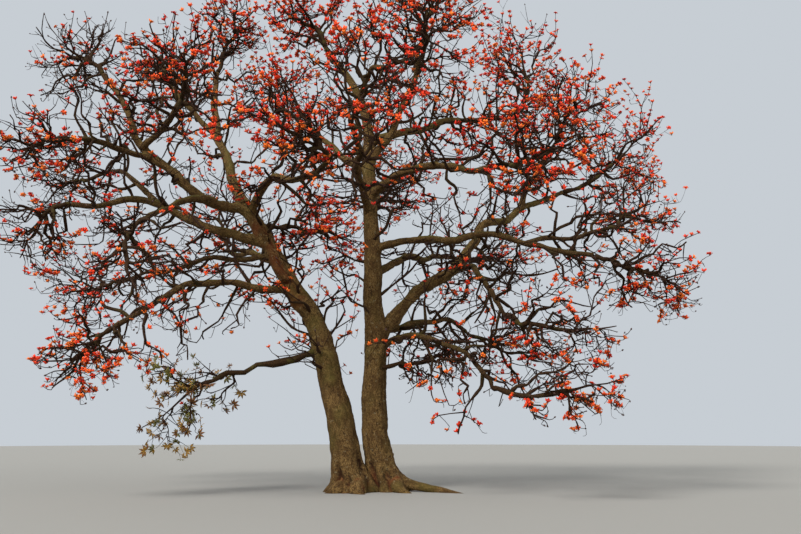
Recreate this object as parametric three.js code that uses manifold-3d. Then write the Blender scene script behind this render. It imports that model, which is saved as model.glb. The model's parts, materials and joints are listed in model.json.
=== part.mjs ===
// A red silk cotton tree in flower, leafless but for one low limb: two stems from one root, their
// boughs, and the masses of twigs and blossom that the boughs carry. Millimetres, +Z up, the origin
// on the flat cut at ground level. +X is the right of the tree and -Y is its front.
import * as THREE from "three";
import { mergeVertices } from "three/addons/utils/BufferGeometryUtils.js";
import Module from "manifold-3d";

const wasm = await Module();
wasm.setup();

const CLEARANCE = 0.4; // the air left between two neighbouring solids

// The finishes, by what they cover.
const BARK = { color: 0x6b5d48, roughness: 0.95, metalness: 0 };
const BLOSSOM = { color: 0xc8452b, roughness: 0.65, metalness: 0 };
const OLD_LEAF = { color: 0x6f6434, roughness: 0.7, metalness: 0 };

// A stem grows from the ground. Every limb advances by equal stages: heading is the turn of each
// stage in degrees from +X towards +Y, and climb its angle above the level. girth is the radius
// where a limb starts and where it ends, and swell is what a stem's foot adds at the ground.
const STEMS = [
  {
    name: "left_trunk", foot: [-500, -100], stage: 1130, girth: [478, 205], swell: 300,
    heading: [180, 180, 180, 180, 180, 180, 180, 180, 180],
    climb: [80, 80, 76, 76, 70, 56, 60, 60, 55],
  },
  {
    name: "right_trunk", foot: [620, 250], stage: 1230, girth: [455, 115], swell: 200,
    heading: [180, 180, 180, 180, 180, 180, 140, 170, 105, 130, 150, 160],
    climb: [75, 85, 90, 90, 86, 90, 86, 86, 90, 84, 70, 60],
  },
];
const STEM_SIDES = 10;
const SWELL_HEIGHT = 600; // the height over which the swell of a foot dies away
const FOOT_STATIONS = [0.1, 0.26, 0.5]; // where the first stage of a stem has rings of its own
const SUNK = 300; // how far the stems are drawn below the ground before the flat cut

// The surface roots: the stem that each leaves, its heading, its run, its radius at the stem and how
// high up the stem it begins.
const ROOTS = [
  { stem: "left_trunk", heading: 172, run: 900, girth: 200, crest: 560 },
  { stem: "left_trunk", heading: 222, run: 1050, girth: 220, crest: 560 },
  { stem: "left_trunk", heading: 292, run: 1300, girth: 210, crest: 600 },
  { stem: "left_trunk", heading: 128, run: 1150, girth: 190, crest: 620 },
  { stem: "right_trunk", heading: 338, run: 2750, girth: 150, crest: 460 },
  { stem: "right_trunk", heading: 306, run: 1350, girth: 190, crest: 620 },
  { stem: "right_trunk", heading: 24, run: 1250, girth: 190, crest: 620 },
  { stem: "right_trunk", heading: 82, run: 1250, girth: 180, crest: 620 },
];
const ROOT_COURSE = [[0, 1], [0.32, 0.42], [0.65, 0.1], [1, -0.25]]; // shares of the run and crest
const ROOT_TAPER = [1, 0.95, 0.75, 0.4];
const ROOT_SIDES = 5;

// A bough leaves its parent at a share of the parent's length. Its mass of twigs keeps to a space
// of its own: centre is the middle of that space, reach its radius, and hang draws its shoots up
// or down.
const BOUGHS = [
  {
    key: "left_low", parent: "left_trunk", at: 0.655, stage: 1040, girth: [135, 66],
    heading: [200, 205, 210, 220, 225, 215], climb: [0, 5, -5, -20, -35, -35],
    centre: [-7500, -3900, 4200], reach: 1900, hang: -0.3,
  },
  {
    key: "left_middle", parent: "left_trunk", at: 0.79, stage: 1080, girth: [100, 56],
    heading: [160, 155, 155, 155, 150, 155], climb: [0, 5, -5, -12, 2, -10],
    centre: [-10100, 3200, 7000], reach: 2350, hang: -0.2,
  },
  {
    key: "left_long", parent: "left_trunk", at: 0.84, stage: 930, girth: [175, 76],
    heading: [185, 185, 190, 190, 190, 195, 195], climb: [8, 15, 25, 25, 5, -15, 0],
    centre: [-9850, -1300, 8400], reach: 2250, hang: -0.1,
  },
  {
    key: "left_leader", parent: "left_trunk", at: 0.985, stage: 1000, girth: [180, 86],
    heading: [155, 135, 135, 130, 110, 70], climb: [62, 65, 60, 65, 65, 80],
    centre: [-5000, 1900, 15900], reach: 2400, hang: 0.15,
  },
  {
    key: "left_upper", parent: "left_trunk", at: 0.975, stage: 880, girth: [170, 80],
    heading: [205, 205, 200, 195, 185, 155, 165, 175], climb: [4, 18, 40, 35, 50, 70, 55, 55],
    centre: [-9500, -600, 13800], reach: 2050, hang: 0.1,
  },
  {
    key: "left_inward", parent: "left_trunk", at: 0.95, stage: 1070, girth: [148, 74],
    heading: [300, 305, 310, 305, 295], climb: [32, 8, -12, -8, 0],
    centre: [-2200, -6400, 9500], reach: 2000, hang: 0.1,
  },
  {
    key: "left_rear", parent: "left_trunk", at: 0.72, stage: 1200, girth: [150, 76],
    heading: [105, 120, 135, 125, 118], climb: [28, 15, 20, 8, 15],
    centre: [-6300, 6600, 10800], reach: 2600, hang: 0,
  },
  {
    key: "left_cross", parent: "left_long_bough", at: 0.56, stage: 1140, girth: [105, 62],
    heading: [140, 140, 140, 145], climb: [35, 35, 20, 0],
    centre: [-11150, 2800, 10800], reach: 2150, hang: 0,
  },
  {
    key: "left_fork", parent: "left_upper_bough", at: 0.16, stage: 1100, girth: [130, 66],
    heading: [245, 250, 256, 262], climb: [-14, -20, -25, -30],
    centre: [-5700, -6100, 6100], reach: 2000, hang: -0.2,
  },
  {
    key: "left_outer", parent: "left_upper_bough", at: 0.5, stage: 760, girth: [108, 72],
    heading: [214, 218, 224], climb: [5, 12, -8],
    centre: [-9300, -3600, 9950], reach: 1950, hang: 0,
  },
  {
    key: "left_inner", parent: "left_upper_bough", at: 0.56, stage: 1180, girth: [110, 76],
    heading: [312, 305, 296], climb: [14, 8, 5],
    centre: [-5000, -5600, 11500], reach: 1850, hang: 0.1,
  },
  {
    key: "left_west", parent: "left_leader_bough", at: 0.5, stage: 1050, girth: [110, 72],
    heading: [165, 158, 150, 140], climb: [42, 48, 45, 62],
    centre: [-8300, 4600, 14900], reach: 2100, hang: 0.1,
  },
  {
    key: "right_great", parent: "right_trunk", at: 0.325, stage: 1030, girth: [235, 82],
    heading: [20, 25, 20, 25, 35, 35, 35, 30, 30, 30],
    climb: [50, 48, 30, 40, 50, 52, 15, 38, 22, 25],
    centre: [9750, 4700, 12700], reach: 2700, hang: 0.05,
  },
  {
    key: "right_low", parent: "right_trunk", at: 0.29, stage: 1050, girth: [112, 64],
    heading: [312, 322, 315, 310, 302], climb: [25, 5, -15, -25, -38],
    centre: [5650, -4500, 3250], reach: 1850, hang: -0.3,
  },
  {
    key: "right_lower", parent: "right_trunk", at: 0.345, stage: 920, girth: [130, 66],
    heading: [60, 42, 36, 40, 45], climb: [10, 12, 12, 10, -20],
    centre: [5800, 4300, 4700], reach: 2200, hang: -0.25,
  },
  {
    key: "right_level", parent: "right_trunk", at: 0.53, stage: 920, girth: [128, 72],
    heading: [338, 340, 340, 345, 340, 345, 345, 345],
    climb: [12, 0, -5, 5, -5, -20, -15, -12],
    centre: [8300, -2500, 6350], reach: 1980, hang: -0.15,
  },
  {
    key: "right_shoulder", parent: "right_trunk", at: 0.655, stage: 1210, girth: [148, 78],
    heading: [310, 310, 310, 312, 305], climb: [16, 5, -10, -20, -8],
    centre: [4400, -5700, 9100], reach: 2200, hang: 0.05,
  },
  {
    key: "right_high", parent: "right_trunk", at: 0.78, stage: 1180, girth: [140, 78],
    heading: [20, 35, 30, 25, 25], climb: [28, 18, 25, 10, 12],
    centre: [5150, 3700, 15800], reach: 2600, hang: 0.1,
  },
  {
    key: "right_leader", parent: "right_trunk", at: 0.74, stage: 1000, girth: [146, 82],
    heading: [340, 335, 320, 290], climb: [48, 60, 55, 62],
    centre: [2000, -900, 15400], reach: 2500, hang: 0.15,
  },
  {
    key: "centre_left", parent: "right_trunk", at: 0.715, stage: 1160, girth: [142, 80],
    heading: [145, 135, 130, 135], climb: [30, 40, 40, 32],
    centre: [-3800, 5100, 15100], reach: 2600, hang: 0.1,
  },
  {
    key: "front", parent: "right_trunk", at: 0.61, stage: 1250, girth: [132, 72],
    heading: [255, 268, 275, 268], climb: [32, 12, 2, 8],
    centre: [300, -6500, 10600], reach: 2300, hang: 0,
  },
  {
    key: "rear", parent: "right_trunk", at: 0.6, stage: 1250, girth: [140, 74],
    heading: [98, 88, 80, 90, 96], climb: [34, 24, 12, 25, 18],
    centre: [900, 7700, 12100], reach: 2600, hang: 0.05,
  },
  {
    key: "rear_right", parent: "right_trunk", at: 0.47, stage: 1300, girth: [142, 74],
    heading: [62, 56, 60, 66, 55], climb: [25, 20, 10, 15, 4],
    centre: [4700, 7500, 9000], reach: 2600, hang: -0.1,
  },
  {
    key: "arching", parent: "right_trunk", at: 0.9, stage: 1200, girth: [96, 66],
    heading: [290, 300, 305], climb: [24, -5, -16],
    centre: [1500, -4300, 13200], reach: 2300, hang: 0.1,
  },
  {
    key: "right_crown", parent: "right_great_bough", at: 0.78, stage: 780, girth: [106, 72],
    heading: [330, 350, 350], climb: [72, 56, 58],
    centre: [6700, 700, 12450], reach: 2450, hang: 0.1,
  },
  {
    key: "right_falling", parent: "right_great_bough", at: 0.38, stage: 1150, girth: [116, 72],
    heading: [295, 285, 280, 285], climb: [-5, -28, -32, -38],
    centre: [5640, -3600, 5000], reach: 2150, hang: -0.3,
  },
  {
    key: "right_branch", parent: "right_level_bough", at: 0.72, stage: 1030, girth: [86, 60],
    heading: [32, 30, 26], climb: [16, 8, 18],
    centre: [8700, 900, 9100], reach: 2200, hang: 0,
  },
];
const BOUGH_SIDES = 5;

// The masses that grow straight from a stem of the tree, at its tip where at is 1.
const SHOOT_MASSES = [
  {
    name: "top_mass", parent: "right_trunk", at: 1, heading: 160, climb: 60, girth: 110,
    centre: [-2500, 1500, 16300], reach: 2700, hang: 0.15,
  },
  {
    name: "centre_shoots", parent: "left_trunk", at: 0.9, heading: 40, climb: 20, girth: 90,
    centre: [-1700, 1500, 8450], reach: 2050, hang: 0.1,
  },
  {
    name: "right_low_shoots", parent: "right_trunk", at: 0.27, heading: 335, climb: 0, girth: 75,
    centre: [2000, -900, 4250], reach: 1450, hang: -0.3,
  },
  {
    name: "leafy_low_limb", parent: "left_trunk", at: 0.43, heading: 205, climb: 5, girth: 100,
    centre: [-5300, -1500, 2600], reach: 1950, hang: -0.25, leafy: true,
  },
];

// How each order of shoot grows from the one before: how many the tree has, and which of them are
// modelled (from first, one in every), where on the parent they begin and end, their length as a
// share of the mass's reach, the angle that they leave at, their stages, how crooked they are,
// their radius, and the turn round the parent from one to the next.
const LEADER = { stages: 4, bend: 0.4, crook: 0.1, end: 24, past: 0.72 };
const SIDE_SHOOT = {
  count: 10, first: 0, every: 2, from: 0.16, to: 0.98, length: 0.95, angle: 62, stages: 2,
  crook: 0.25, girth: 34, turn: 137.5,
};
const TWIG = {
  count: 6, first: 2, every: 6, from: 0.3, to: 0.95, length: 0.42, angle: 50, stages: 1,
  crook: 0.3, girth: 19, turn: 180,
};
const TWIG_SIDES = 3;
const VARIES = { turn: 50, angle: 24, shortest: 0.7, longest: 1.2 }; // from shoot to shoot
const PULL = 0.6; // how strongly hang bends each stage
const SEEDS = { first: 1000, step: 37 }; // one for each mass
const SPACE_MARGIN = 45; // the air kept at the edge of a mass's space
const LIMB_MARGIN = 60; // and round every limb
const LOWEST_TWIG = 700; // the height below which no twig hangs
const SAMPLE = 150; // how often a shoot's way is tested
// A shoot swells at its end into a spray of blossom or of leaves.
const SPRAY = { length: 430, blossom: 165, leaves: 120, neck: 12 };

const radians = THREE.MathUtils.degToRad;

function bearing(heading, climb) {
  const level = Math.cos(radians(climb));
  return new THREE.Vector3(
    level * Math.cos(radians(heading)),
    level * Math.sin(radians(heading)),
    Math.sin(radians(climb)),
  );
}

// A stream of numbers between 0 and 1 that a seed settles.
const SEED_LIMIT = 2147483647;
function seeded(seed) {
  let state = (seed % (SEED_LIMIT - 1)) + 1;
  const draw = () => {
    state = (state * 48271) % SEED_LIMIT;
    return state / SEED_LIMIT;
  };
  draw();
  return draw;
}

function seedOf(parentSeed, index) {
  return (parentSeed * 16807 + (index + 1) * 7919) % SEED_LIMIT;
}

// Solids

function solid(geometry) {
  geometry.deleteAttribute("normal");
  geometry.deleteAttribute("uv");
  const merged = mergeVertices(geometry);
  return new wasm.Manifold(
    new wasm.Mesh({
      numProp: 3,
      vertProperties: new Float32Array(merged.getAttribute("position").array),
      triVerts: new Uint32Array(merged.getIndex().array),
    }),
  );
}

function largestPiece(shape) {
  const pieces = shape.decompose();
  return pieces.reduce((best, piece) => (piece.volume() > best.volume() ? piece : best));
}

// A level vector across a way
function acrossFrom(way) {
  const side = new THREE.Vector3(way.y, -way.x, 0);
  return side.lengthSq() > 0 ? side.normalize() : new THREE.Vector3(1, 0, 0);
}

// A cylinder bent along the points, with a radius at each, and drawn to a point where that is 0.
function tube(points, radii, sides) {
  const stages = points.length - 1;
  const pointed = radii[stages] === 0;
  const shape = new THREE.CylinderGeometry(pointed ? 0 : 1, 1, stages, sides, stages);
  const places = shape.getAttribute("position");
  const ways = points.slice(1).map((point, i) => point.clone().sub(points[i]).normalize());
  const along = points.map((_, i) =>
    ways[Math.max(i - 1, 0)].clone().add(ways[Math.min(i, stages - 1)]).normalize(),
  );
  const across = [];
  let side = acrossFrom(along[0]);
  for (const way of along) {
    side = side.clone().addScaledVector(way, -side.dot(way)).normalize();
    across.push(side);
  }
  for (let v = 0; v < places.count; v++) {
    const [x, y, z] = [places.getX(v), places.getY(v), places.getZ(v)];
    const ring = Math.round(y + stages / 2);
    const spread = Math.hypot(x, z) > 0 ? radii[ring] / Math.hypot(x, z) : 0;
    const third = across[ring].clone().cross(along[ring]);
    const place = points[ring].clone();
    place.addScaledVector(across[ring], x * spread).addScaledVector(third, z * spread);
    places.setXYZ(v, place.x, place.y, place.z);
  }
  return solid(shape);
}

// Limbs, each a line of points one stage apart

function trace(start, limb) {
  const line = [start];
  limb.climb.forEach((climb, i) => {
    line.push(line[i].clone().addScaledVector(bearing(limb.heading[i], climb), limb.stage));
  });
  return line;
}

function placeOn(line, station) {
  const i = Math.min(Math.floor(station), line.length - 2);
  return line[i].clone().lerp(line[i + 1], station - i);
}

function radiusOn(limb, station) {
  const share = station / (limb.line.length - 1);
  const swell = limb.swell ?? 0;
  const height = placeOn(limb.line, station).z;
  const taper = limb.girth[0] + (limb.girth[1] - limb.girth[0]) * share;
  return taper + swell * Math.exp(-height / SWELL_HEIGHT);
}

// The limb's tube, or with spare the same tube that much fatter and longer.
function limbTube(limb, sides, spare) {
  const stations = limb.line.map((_, i) => i);
  if (limb.swell) stations.splice(1, 0, ...FOOT_STATIONS);
  const points = stations.map((station) => placeOn(limb.line, station));
  const radii = stations.map((station) => radiusOn(limb, station) + spare);
  if (limb.swell) {
    points.unshift(points[0].clone().setZ(-SUNK));
    radii.unshift(radii[0]);
  }
  const last = points.length - 1;
  const end = points[last].clone().sub(points[last - 1]).normalize();
  points[last].addScaledVector(end, spare);
  return tube(points, radii, sides);
}

function rootTube(root, stem, spare) {
  const foot = stem.line[0];
  const out = bearing(root.heading, 0);
  const points = ROOT_COURSE.map(([run, rise]) =>
    foot.clone().addScaledVector(out, run * root.run).setZ(rise * root.crest),
  );
  return tube(points, ROOT_TAPER.map((taper) => taper * root.girth + spare), ROOT_SIDES);
}

function groundBlock() {
  const width = 9000;
  const block = new THREE.BoxGeometry(width, width, SUNK * 4);
  return solid(block.translate(0, 0, -SUNK * 2));
}

function stemSolid(stem, spare) {
  const roots = ROOTS.filter((root) => root.stem === stem.name);
  return roots.reduce(
    (joined, root) => joined.add(rootTube(root, stem, spare)),
    limbTube(stem, STEM_SIDES, spare),
  );
}

const limbs = new Map();
const ground = groundBlock();

// Each limb is cut clear of every limb before it.
function addLimb(limb, whole, jacket) {
  const cut = [...limbs.values()].reduce((left, other) => left.subtract(other.jacket), whole);
  limbs.set(limb.name, { ...limb, shape: largestPiece(cut), jacket });
}

for (const spec of STEMS) {
  const stem = { ...spec, line: trace(new THREE.Vector3(...spec.foot, 0), spec) };
  addLimb(stem, stemSolid(stem, 0).subtract(ground), stemSolid(stem, CLEARANCE));
}
for (const spec of BOUGHS) {
  const parent = limbs.get(spec.parent);
  const start = placeOn(parent.line, spec.at * (parent.line.length - 1));
  const bough = { ...spec, name: `${spec.key}_bough`, line: trace(start, spec) };
  addLimb(bough, limbTube(bough, BOUGH_SIDES, 0), limbTube(bough, BOUGH_SIDES, CLEARANCE));
}

// Every stage of every limb, for the shoots to keep clear of
const stages = [...limbs.values()].flatMap((limb) =>
  limb.line.slice(1).map((end, i) => ({
    limb: limb.name,
    way: new THREE.Line3(limb.line[i], end),
    radius: Math.max(radiusOn(limb, i), radiusOn(limb, i + 1)),
  })),
);

const masses = [
  ...BOUGHS.map((bough) => {
    const line = limbs.get(`${bough.key}_bough`).line;
    const last = line.length - 1;
    const way = line[last].clone().sub(line[last - 1]).normalize();
    return {
      ...bough,
      name: `${bough.key}_mass`,
      parent: `${bough.key}_bough`,
      foot: line[last].clone().addScaledVector(way, CLEARANCE),
      way,
      girth: bough.girth[1],
    };
  }),
  ...SHOOT_MASSES.map((mass) => {
    const line = limbs.get(mass.parent).line;
    const way = bearing(mass.heading, mass.climb);
    const foot = placeOn(line, mass.at * (line.length - 1));
    if (mass.at === 1) foot.addScaledVector(way, CLEARANCE);
    return { ...mass, foot, way };
  }),
].map((mass, i) => ({
  ...mass,
  centre: new THREE.Vector3(...mass.centre),
  seed: SEEDS.first + SEEDS.step * i,
}));

// The room round a point inside a mass's space: the least of its ways to the edge of its reach, to
// the plane that parts it from each other space, and to the lowest level of twigs.
function roomAt(mass, point) {
  const power = (space) => point.distanceToSquared(space.centre) - space.reach ** 2;
  const walls = masses
    .filter((other) => other !== mass)
    .map((other) => (power(other) - power(mass)) / (2 * other.centre.distanceTo(mass.centre)));
  const edge = mass.reach - point.distanceTo(mass.centre);
  return Math.min(edge, point.z - LOWEST_TWIG, ...walls);
}

const nearest = new THREE.Vector3();
function clearOfLimbs(point, radius, except) {
  return stages.every(({ limb, way, radius: girth }) => {
    if (limb === except) return true;
    way.closestPointToPoint(point, true, nearest);
    return nearest.distanceTo(point) > girth + radius + LIMB_MARGIN;
  });
}

function isFree(mass, point, radius) {
  return roomAt(mass, point) > SPACE_MARGIN + radius && clearOfLimbs(point, radius);
}

function wayIsFree(mass, from, to, radius) {
  const samples = Math.ceil(from.distanceTo(to) / SAMPLE);
  for (let i = 1; i <= samples; i++) {
    if (!isFree(mass, from.clone().lerp(to, i / samples), radius)) return false;
  }
  return true;
}

// Shoots

function wander(draw) {
  return new THREE.Vector3(draw() - 0.5, draw() - 0.5, draw() - 0.5).multiplyScalar(2);
}

// The leader of a mass bends from the bough's way to the far side of its space. A point that is in
// another limb's way ends it.
function leaderOf(mass) {
  const draw = seeded(mass.seed);
  const onward = mass.centre.clone().sub(mass.foot).normalize();
  const end = mass.centre.clone().addScaledVector(onward, LEADER.past * mass.reach);
  const length = end.distanceTo(mass.foot);
  const bend = mass.foot.clone().addScaledVector(mass.way, length * LEADER.bend);
  const curve = new THREE.QuadraticBezierCurve3(mass.foot, bend, end);
  const points = curve.getPoints(LEADER.stages);
  for (let i = 1; i <= LEADER.stages; i++) {
    points[i].addScaledVector(wander(draw), (LEADER.crook * length) / LEADER.stages);
    const ends = i === LEADER.stages && roomAt(mass, points[i]) < SPACE_MARGIN + LEADER.end;
    if (ends || !clearOfLimbs(points[i], LEADER.end, mass.parent)) {
      points.length = i;
      break;
    }
  }
  const radii = points.map((_, i) => mass.girth + ((LEADER.end - mass.girth) * i) / LEADER.stages);
  return { points, radii, seed: mass.seed };
}

// One shoot of a kind, the index-th on its parent: it advances while its way is free.
function shootOn(mass, parent, kind, index) {
  const seed = seedOf(parent.seed, index);
  const draw = seeded(seed);
  const last = parent.points.length - 1;
  const station = (kind.from + ((kind.to - kind.from) * (index + draw())) / kind.count) * last;
  const start = placeOn(parent.points, station);
  const stage = Math.min(Math.floor(station), last - 1);
  const along = parent.points[stage + 1].clone().sub(parent.points[stage]).normalize();
  const side = acrossFrom(along);
  side.applyAxisAngle(along, radians(kind.turn * index + VARIES.turn * (draw() - 0.5)));
  const angle = radians(kind.angle + VARIES.angle * (draw() - 0.5));
  const way = along.multiplyScalar(Math.cos(angle)).addScaledVector(side, Math.sin(angle));
  const share = VARIES.shortest + (VARIES.longest - VARIES.shortest) * draw();
  const length = mass.reach * kind.length * share;
  const points = [start];
  for (let i = 0; i < kind.stages; i++) {
    way.addScaledVector(wander(draw), kind.crook);
    way.z += mass.hang * PULL;
    way.normalize();
    const next = points[i].clone().addScaledVector(way, length / kind.stages);
    if (!wayIsFree(mass, points[i], next, kind.girth)) break;
    points.push(next);
  }
  return { points, seed, girth: kind.girth };
}

function shootsOn(mass, parent, kind) {
  const shoots = [];
  for (let index = kind.first; index < kind.count; index += kind.every) {
    const shoot = shootOn(mass, parent, kind, index);
    if (shoot.points.length > 1) shoots.push(shoot);
  }
  return shoots;
}

// The shoot tapers to a point, or to the neck of the spray that its end swells into where there is
// room for one.
function shootTube(mass, { points, girth }) {
  const last = points.length - 1;
  const tip = points[last];
  const back = points[last - 1].clone().sub(tip);
  const fits = back.length() > SPRAY.length;
  back.normalize();
  const middle = tip.clone().addScaledVector(back, SPRAY.length / 2);
  const bulge = mass.leafy ? SPRAY.leaves : SPRAY.blossom;
  if (!fits || !isFree(mass, middle, bulge)) {
    return tube(points, points.map((_, i) => girth * (1 - i / last)), TWIG_SIDES);
  }
  const neck = tip.clone().addScaledVector(back, SPRAY.length);
  const radii = points.slice(0, -1).map((_, i) => girth + ((SPRAY.neck - girth) * i) / last);
  const swollen = [...radii, SPRAY.neck, bulge, 0];
  return tube([...points.slice(0, -1), neck, middle, tip], swollen, TWIG_SIDES);
}

function massSolid(mass) {
  const leader = leaderOf(mass);
  const sides = shootsOn(mass, leader, SIDE_SHOOT);
  const twigs = sides.flatMap((side) => shootsOn(mass, side, TWIG));
  const joined = [...sides, ...twigs].reduce(
    (whole, shoot) => whole.add(shootTube(mass, shoot)),
    tube(leader.points, leader.radii, TWIG_SIDES),
  );
  return largestPiece(joined.subtract(limbs.get(mass.parent).jacket));
}

// Every sub-part is a mesh placed at its foot

const tree = new THREE.Group();
tree.name = "red_silk_cotton_tree";

function addMesh(name, shape, foot, finish) {
  const { numProp, vertProperties, triVerts } = shape.getMesh();
  const geometry = new THREE.BufferGeometry();
  geometry.setAttribute("position", new THREE.BufferAttribute(vertProperties, numProp));
  geometry.setIndex(new THREE.BufferAttribute(triVerts, 1));
  geometry.translate(-foot.x, -foot.y, -foot.z);
  const mesh = new THREE.Mesh(geometry, new THREE.MeshStandardMaterial(finish));
  mesh.name = name;
  mesh.position.copy(foot);
  tree.add(mesh);
}

for (const limb of limbs.values()) addMesh(limb.name, limb.shape, limb.line[0], BARK);
for (const mass of masses) {
  addMesh(mass.name, massSolid(mass), mass.foot, mass.leafy ? OLD_LEAF : BLOSSOM);
}

export default tree;
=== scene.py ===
# A red silk cotton tree in flower: two stems from one root, their boughs in ridged, mossy bark, and
# the twigs, buds, blossom and last old leaves that grow on from them. Metres, +Z up, the origin on
# the flat cut at ground level. +X is the right of the tree and -Y is its front.
import functools
import json
import math

import bmesh
import bpy
import numpy as np
from mathutils import Matrix, Vector, noise

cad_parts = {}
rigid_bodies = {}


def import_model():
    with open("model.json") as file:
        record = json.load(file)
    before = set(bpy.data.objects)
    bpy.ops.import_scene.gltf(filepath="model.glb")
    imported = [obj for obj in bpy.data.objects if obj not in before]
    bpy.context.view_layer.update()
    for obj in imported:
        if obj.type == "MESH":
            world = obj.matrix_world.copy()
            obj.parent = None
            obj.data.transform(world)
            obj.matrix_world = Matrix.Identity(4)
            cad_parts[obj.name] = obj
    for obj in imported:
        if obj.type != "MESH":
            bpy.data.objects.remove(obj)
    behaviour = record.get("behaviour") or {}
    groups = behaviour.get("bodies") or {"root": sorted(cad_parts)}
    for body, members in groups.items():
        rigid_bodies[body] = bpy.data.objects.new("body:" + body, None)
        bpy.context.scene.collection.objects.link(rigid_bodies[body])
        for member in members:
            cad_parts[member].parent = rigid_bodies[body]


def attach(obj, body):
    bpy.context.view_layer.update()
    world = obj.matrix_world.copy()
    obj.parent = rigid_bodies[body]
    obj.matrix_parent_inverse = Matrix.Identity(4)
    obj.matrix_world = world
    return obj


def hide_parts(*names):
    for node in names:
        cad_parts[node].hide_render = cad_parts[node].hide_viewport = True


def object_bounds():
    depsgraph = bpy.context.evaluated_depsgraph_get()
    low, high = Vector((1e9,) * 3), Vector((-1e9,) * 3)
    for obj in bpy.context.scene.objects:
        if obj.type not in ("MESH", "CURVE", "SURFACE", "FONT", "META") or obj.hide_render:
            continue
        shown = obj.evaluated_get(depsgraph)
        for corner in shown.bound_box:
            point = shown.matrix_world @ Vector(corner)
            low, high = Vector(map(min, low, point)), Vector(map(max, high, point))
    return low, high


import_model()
cad_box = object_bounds()

# Camera

FRAME_WIDTH = 801
FOCAL_PIXELS = 870
CAMERA_PLACE = (1.02, -28.0, 1.9)
CAMERA_TILT = 10.6
FAR_END = 400


def new_object(name, data):
    made = bpy.data.objects.new(name, data)
    bpy.context.scene.collection.objects.link(made)
    return made


def set_camera():
    data = bpy.data.cameras.new("camera")
    data.lens = FOCAL_PIXELS / FRAME_WIDTH * data.sensor_width
    data.clip_end = FAR_END
    camera = new_object("camera", data)
    camera.location = CAMERA_PLACE
    camera.rotation_euler = (math.radians(90 + CAMERA_TILT), 0, 0)
    bpy.context.scene.camera = camera


def records(fields, rows):
    """The rows with each value under its field's name."""
    return [dict(zip(fields.split(), row)) for row in rows]


# The limbs, by the same sizes as the solids, in millimetres and degrees. A limb advances by equal
# stages: heading is the turn of each stage from +X towards +Y, and climb its angle above the level.
# girth is the radius where it starts and where it ends.
MM = 0.001
STEMS = [
    dict(
        name="left_trunk", foot=(-500, -100), stage=1130, girth=(478, 205), swell=300,
        heading=[180, 180, 180, 180, 180, 180, 180, 180, 180],
        climb=[80, 80, 76, 76, 70, 56, 60, 60, 55],
    ),
    dict(
        name="right_trunk", foot=(620, 250), stage=1230, girth=(455, 115), swell=200,
        heading=[180, 180, 180, 180, 180, 180, 140, 170, 105, 130, 150, 160],
        climb=[75, 85, 90, 90, 86, 90, 86, 86, 90, 84, 70, 60],
    ),
]
SWELL_HEIGHT = 0.6
SUNK = 0.3

# The surface roots: the stem that each leaves, its heading, its run, its radius at the stem and how
# high up the stem it begins.
ROOTS = records("stem heading run girth crest", [
    ("left_trunk", 172, 900, 200, 560),
    ("left_trunk", 222, 1050, 220, 560),
    ("left_trunk", 292, 1300, 210, 600),
    ("left_trunk", 128, 1150, 190, 620),
    ("right_trunk", 338, 2750, 150, 460),
    ("right_trunk", 306, 1350, 190, 620),
    ("right_trunk", 24, 1250, 190, 620),
    ("right_trunk", 82, 1250, 180, 620),
])
ROOT_COURSE = [(0, 1), (0.32, 0.42), (0.65, 0.1), (1, -0.25)]
ROOT_TAPER = [1, 0.95, 0.75, 0.4]

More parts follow.
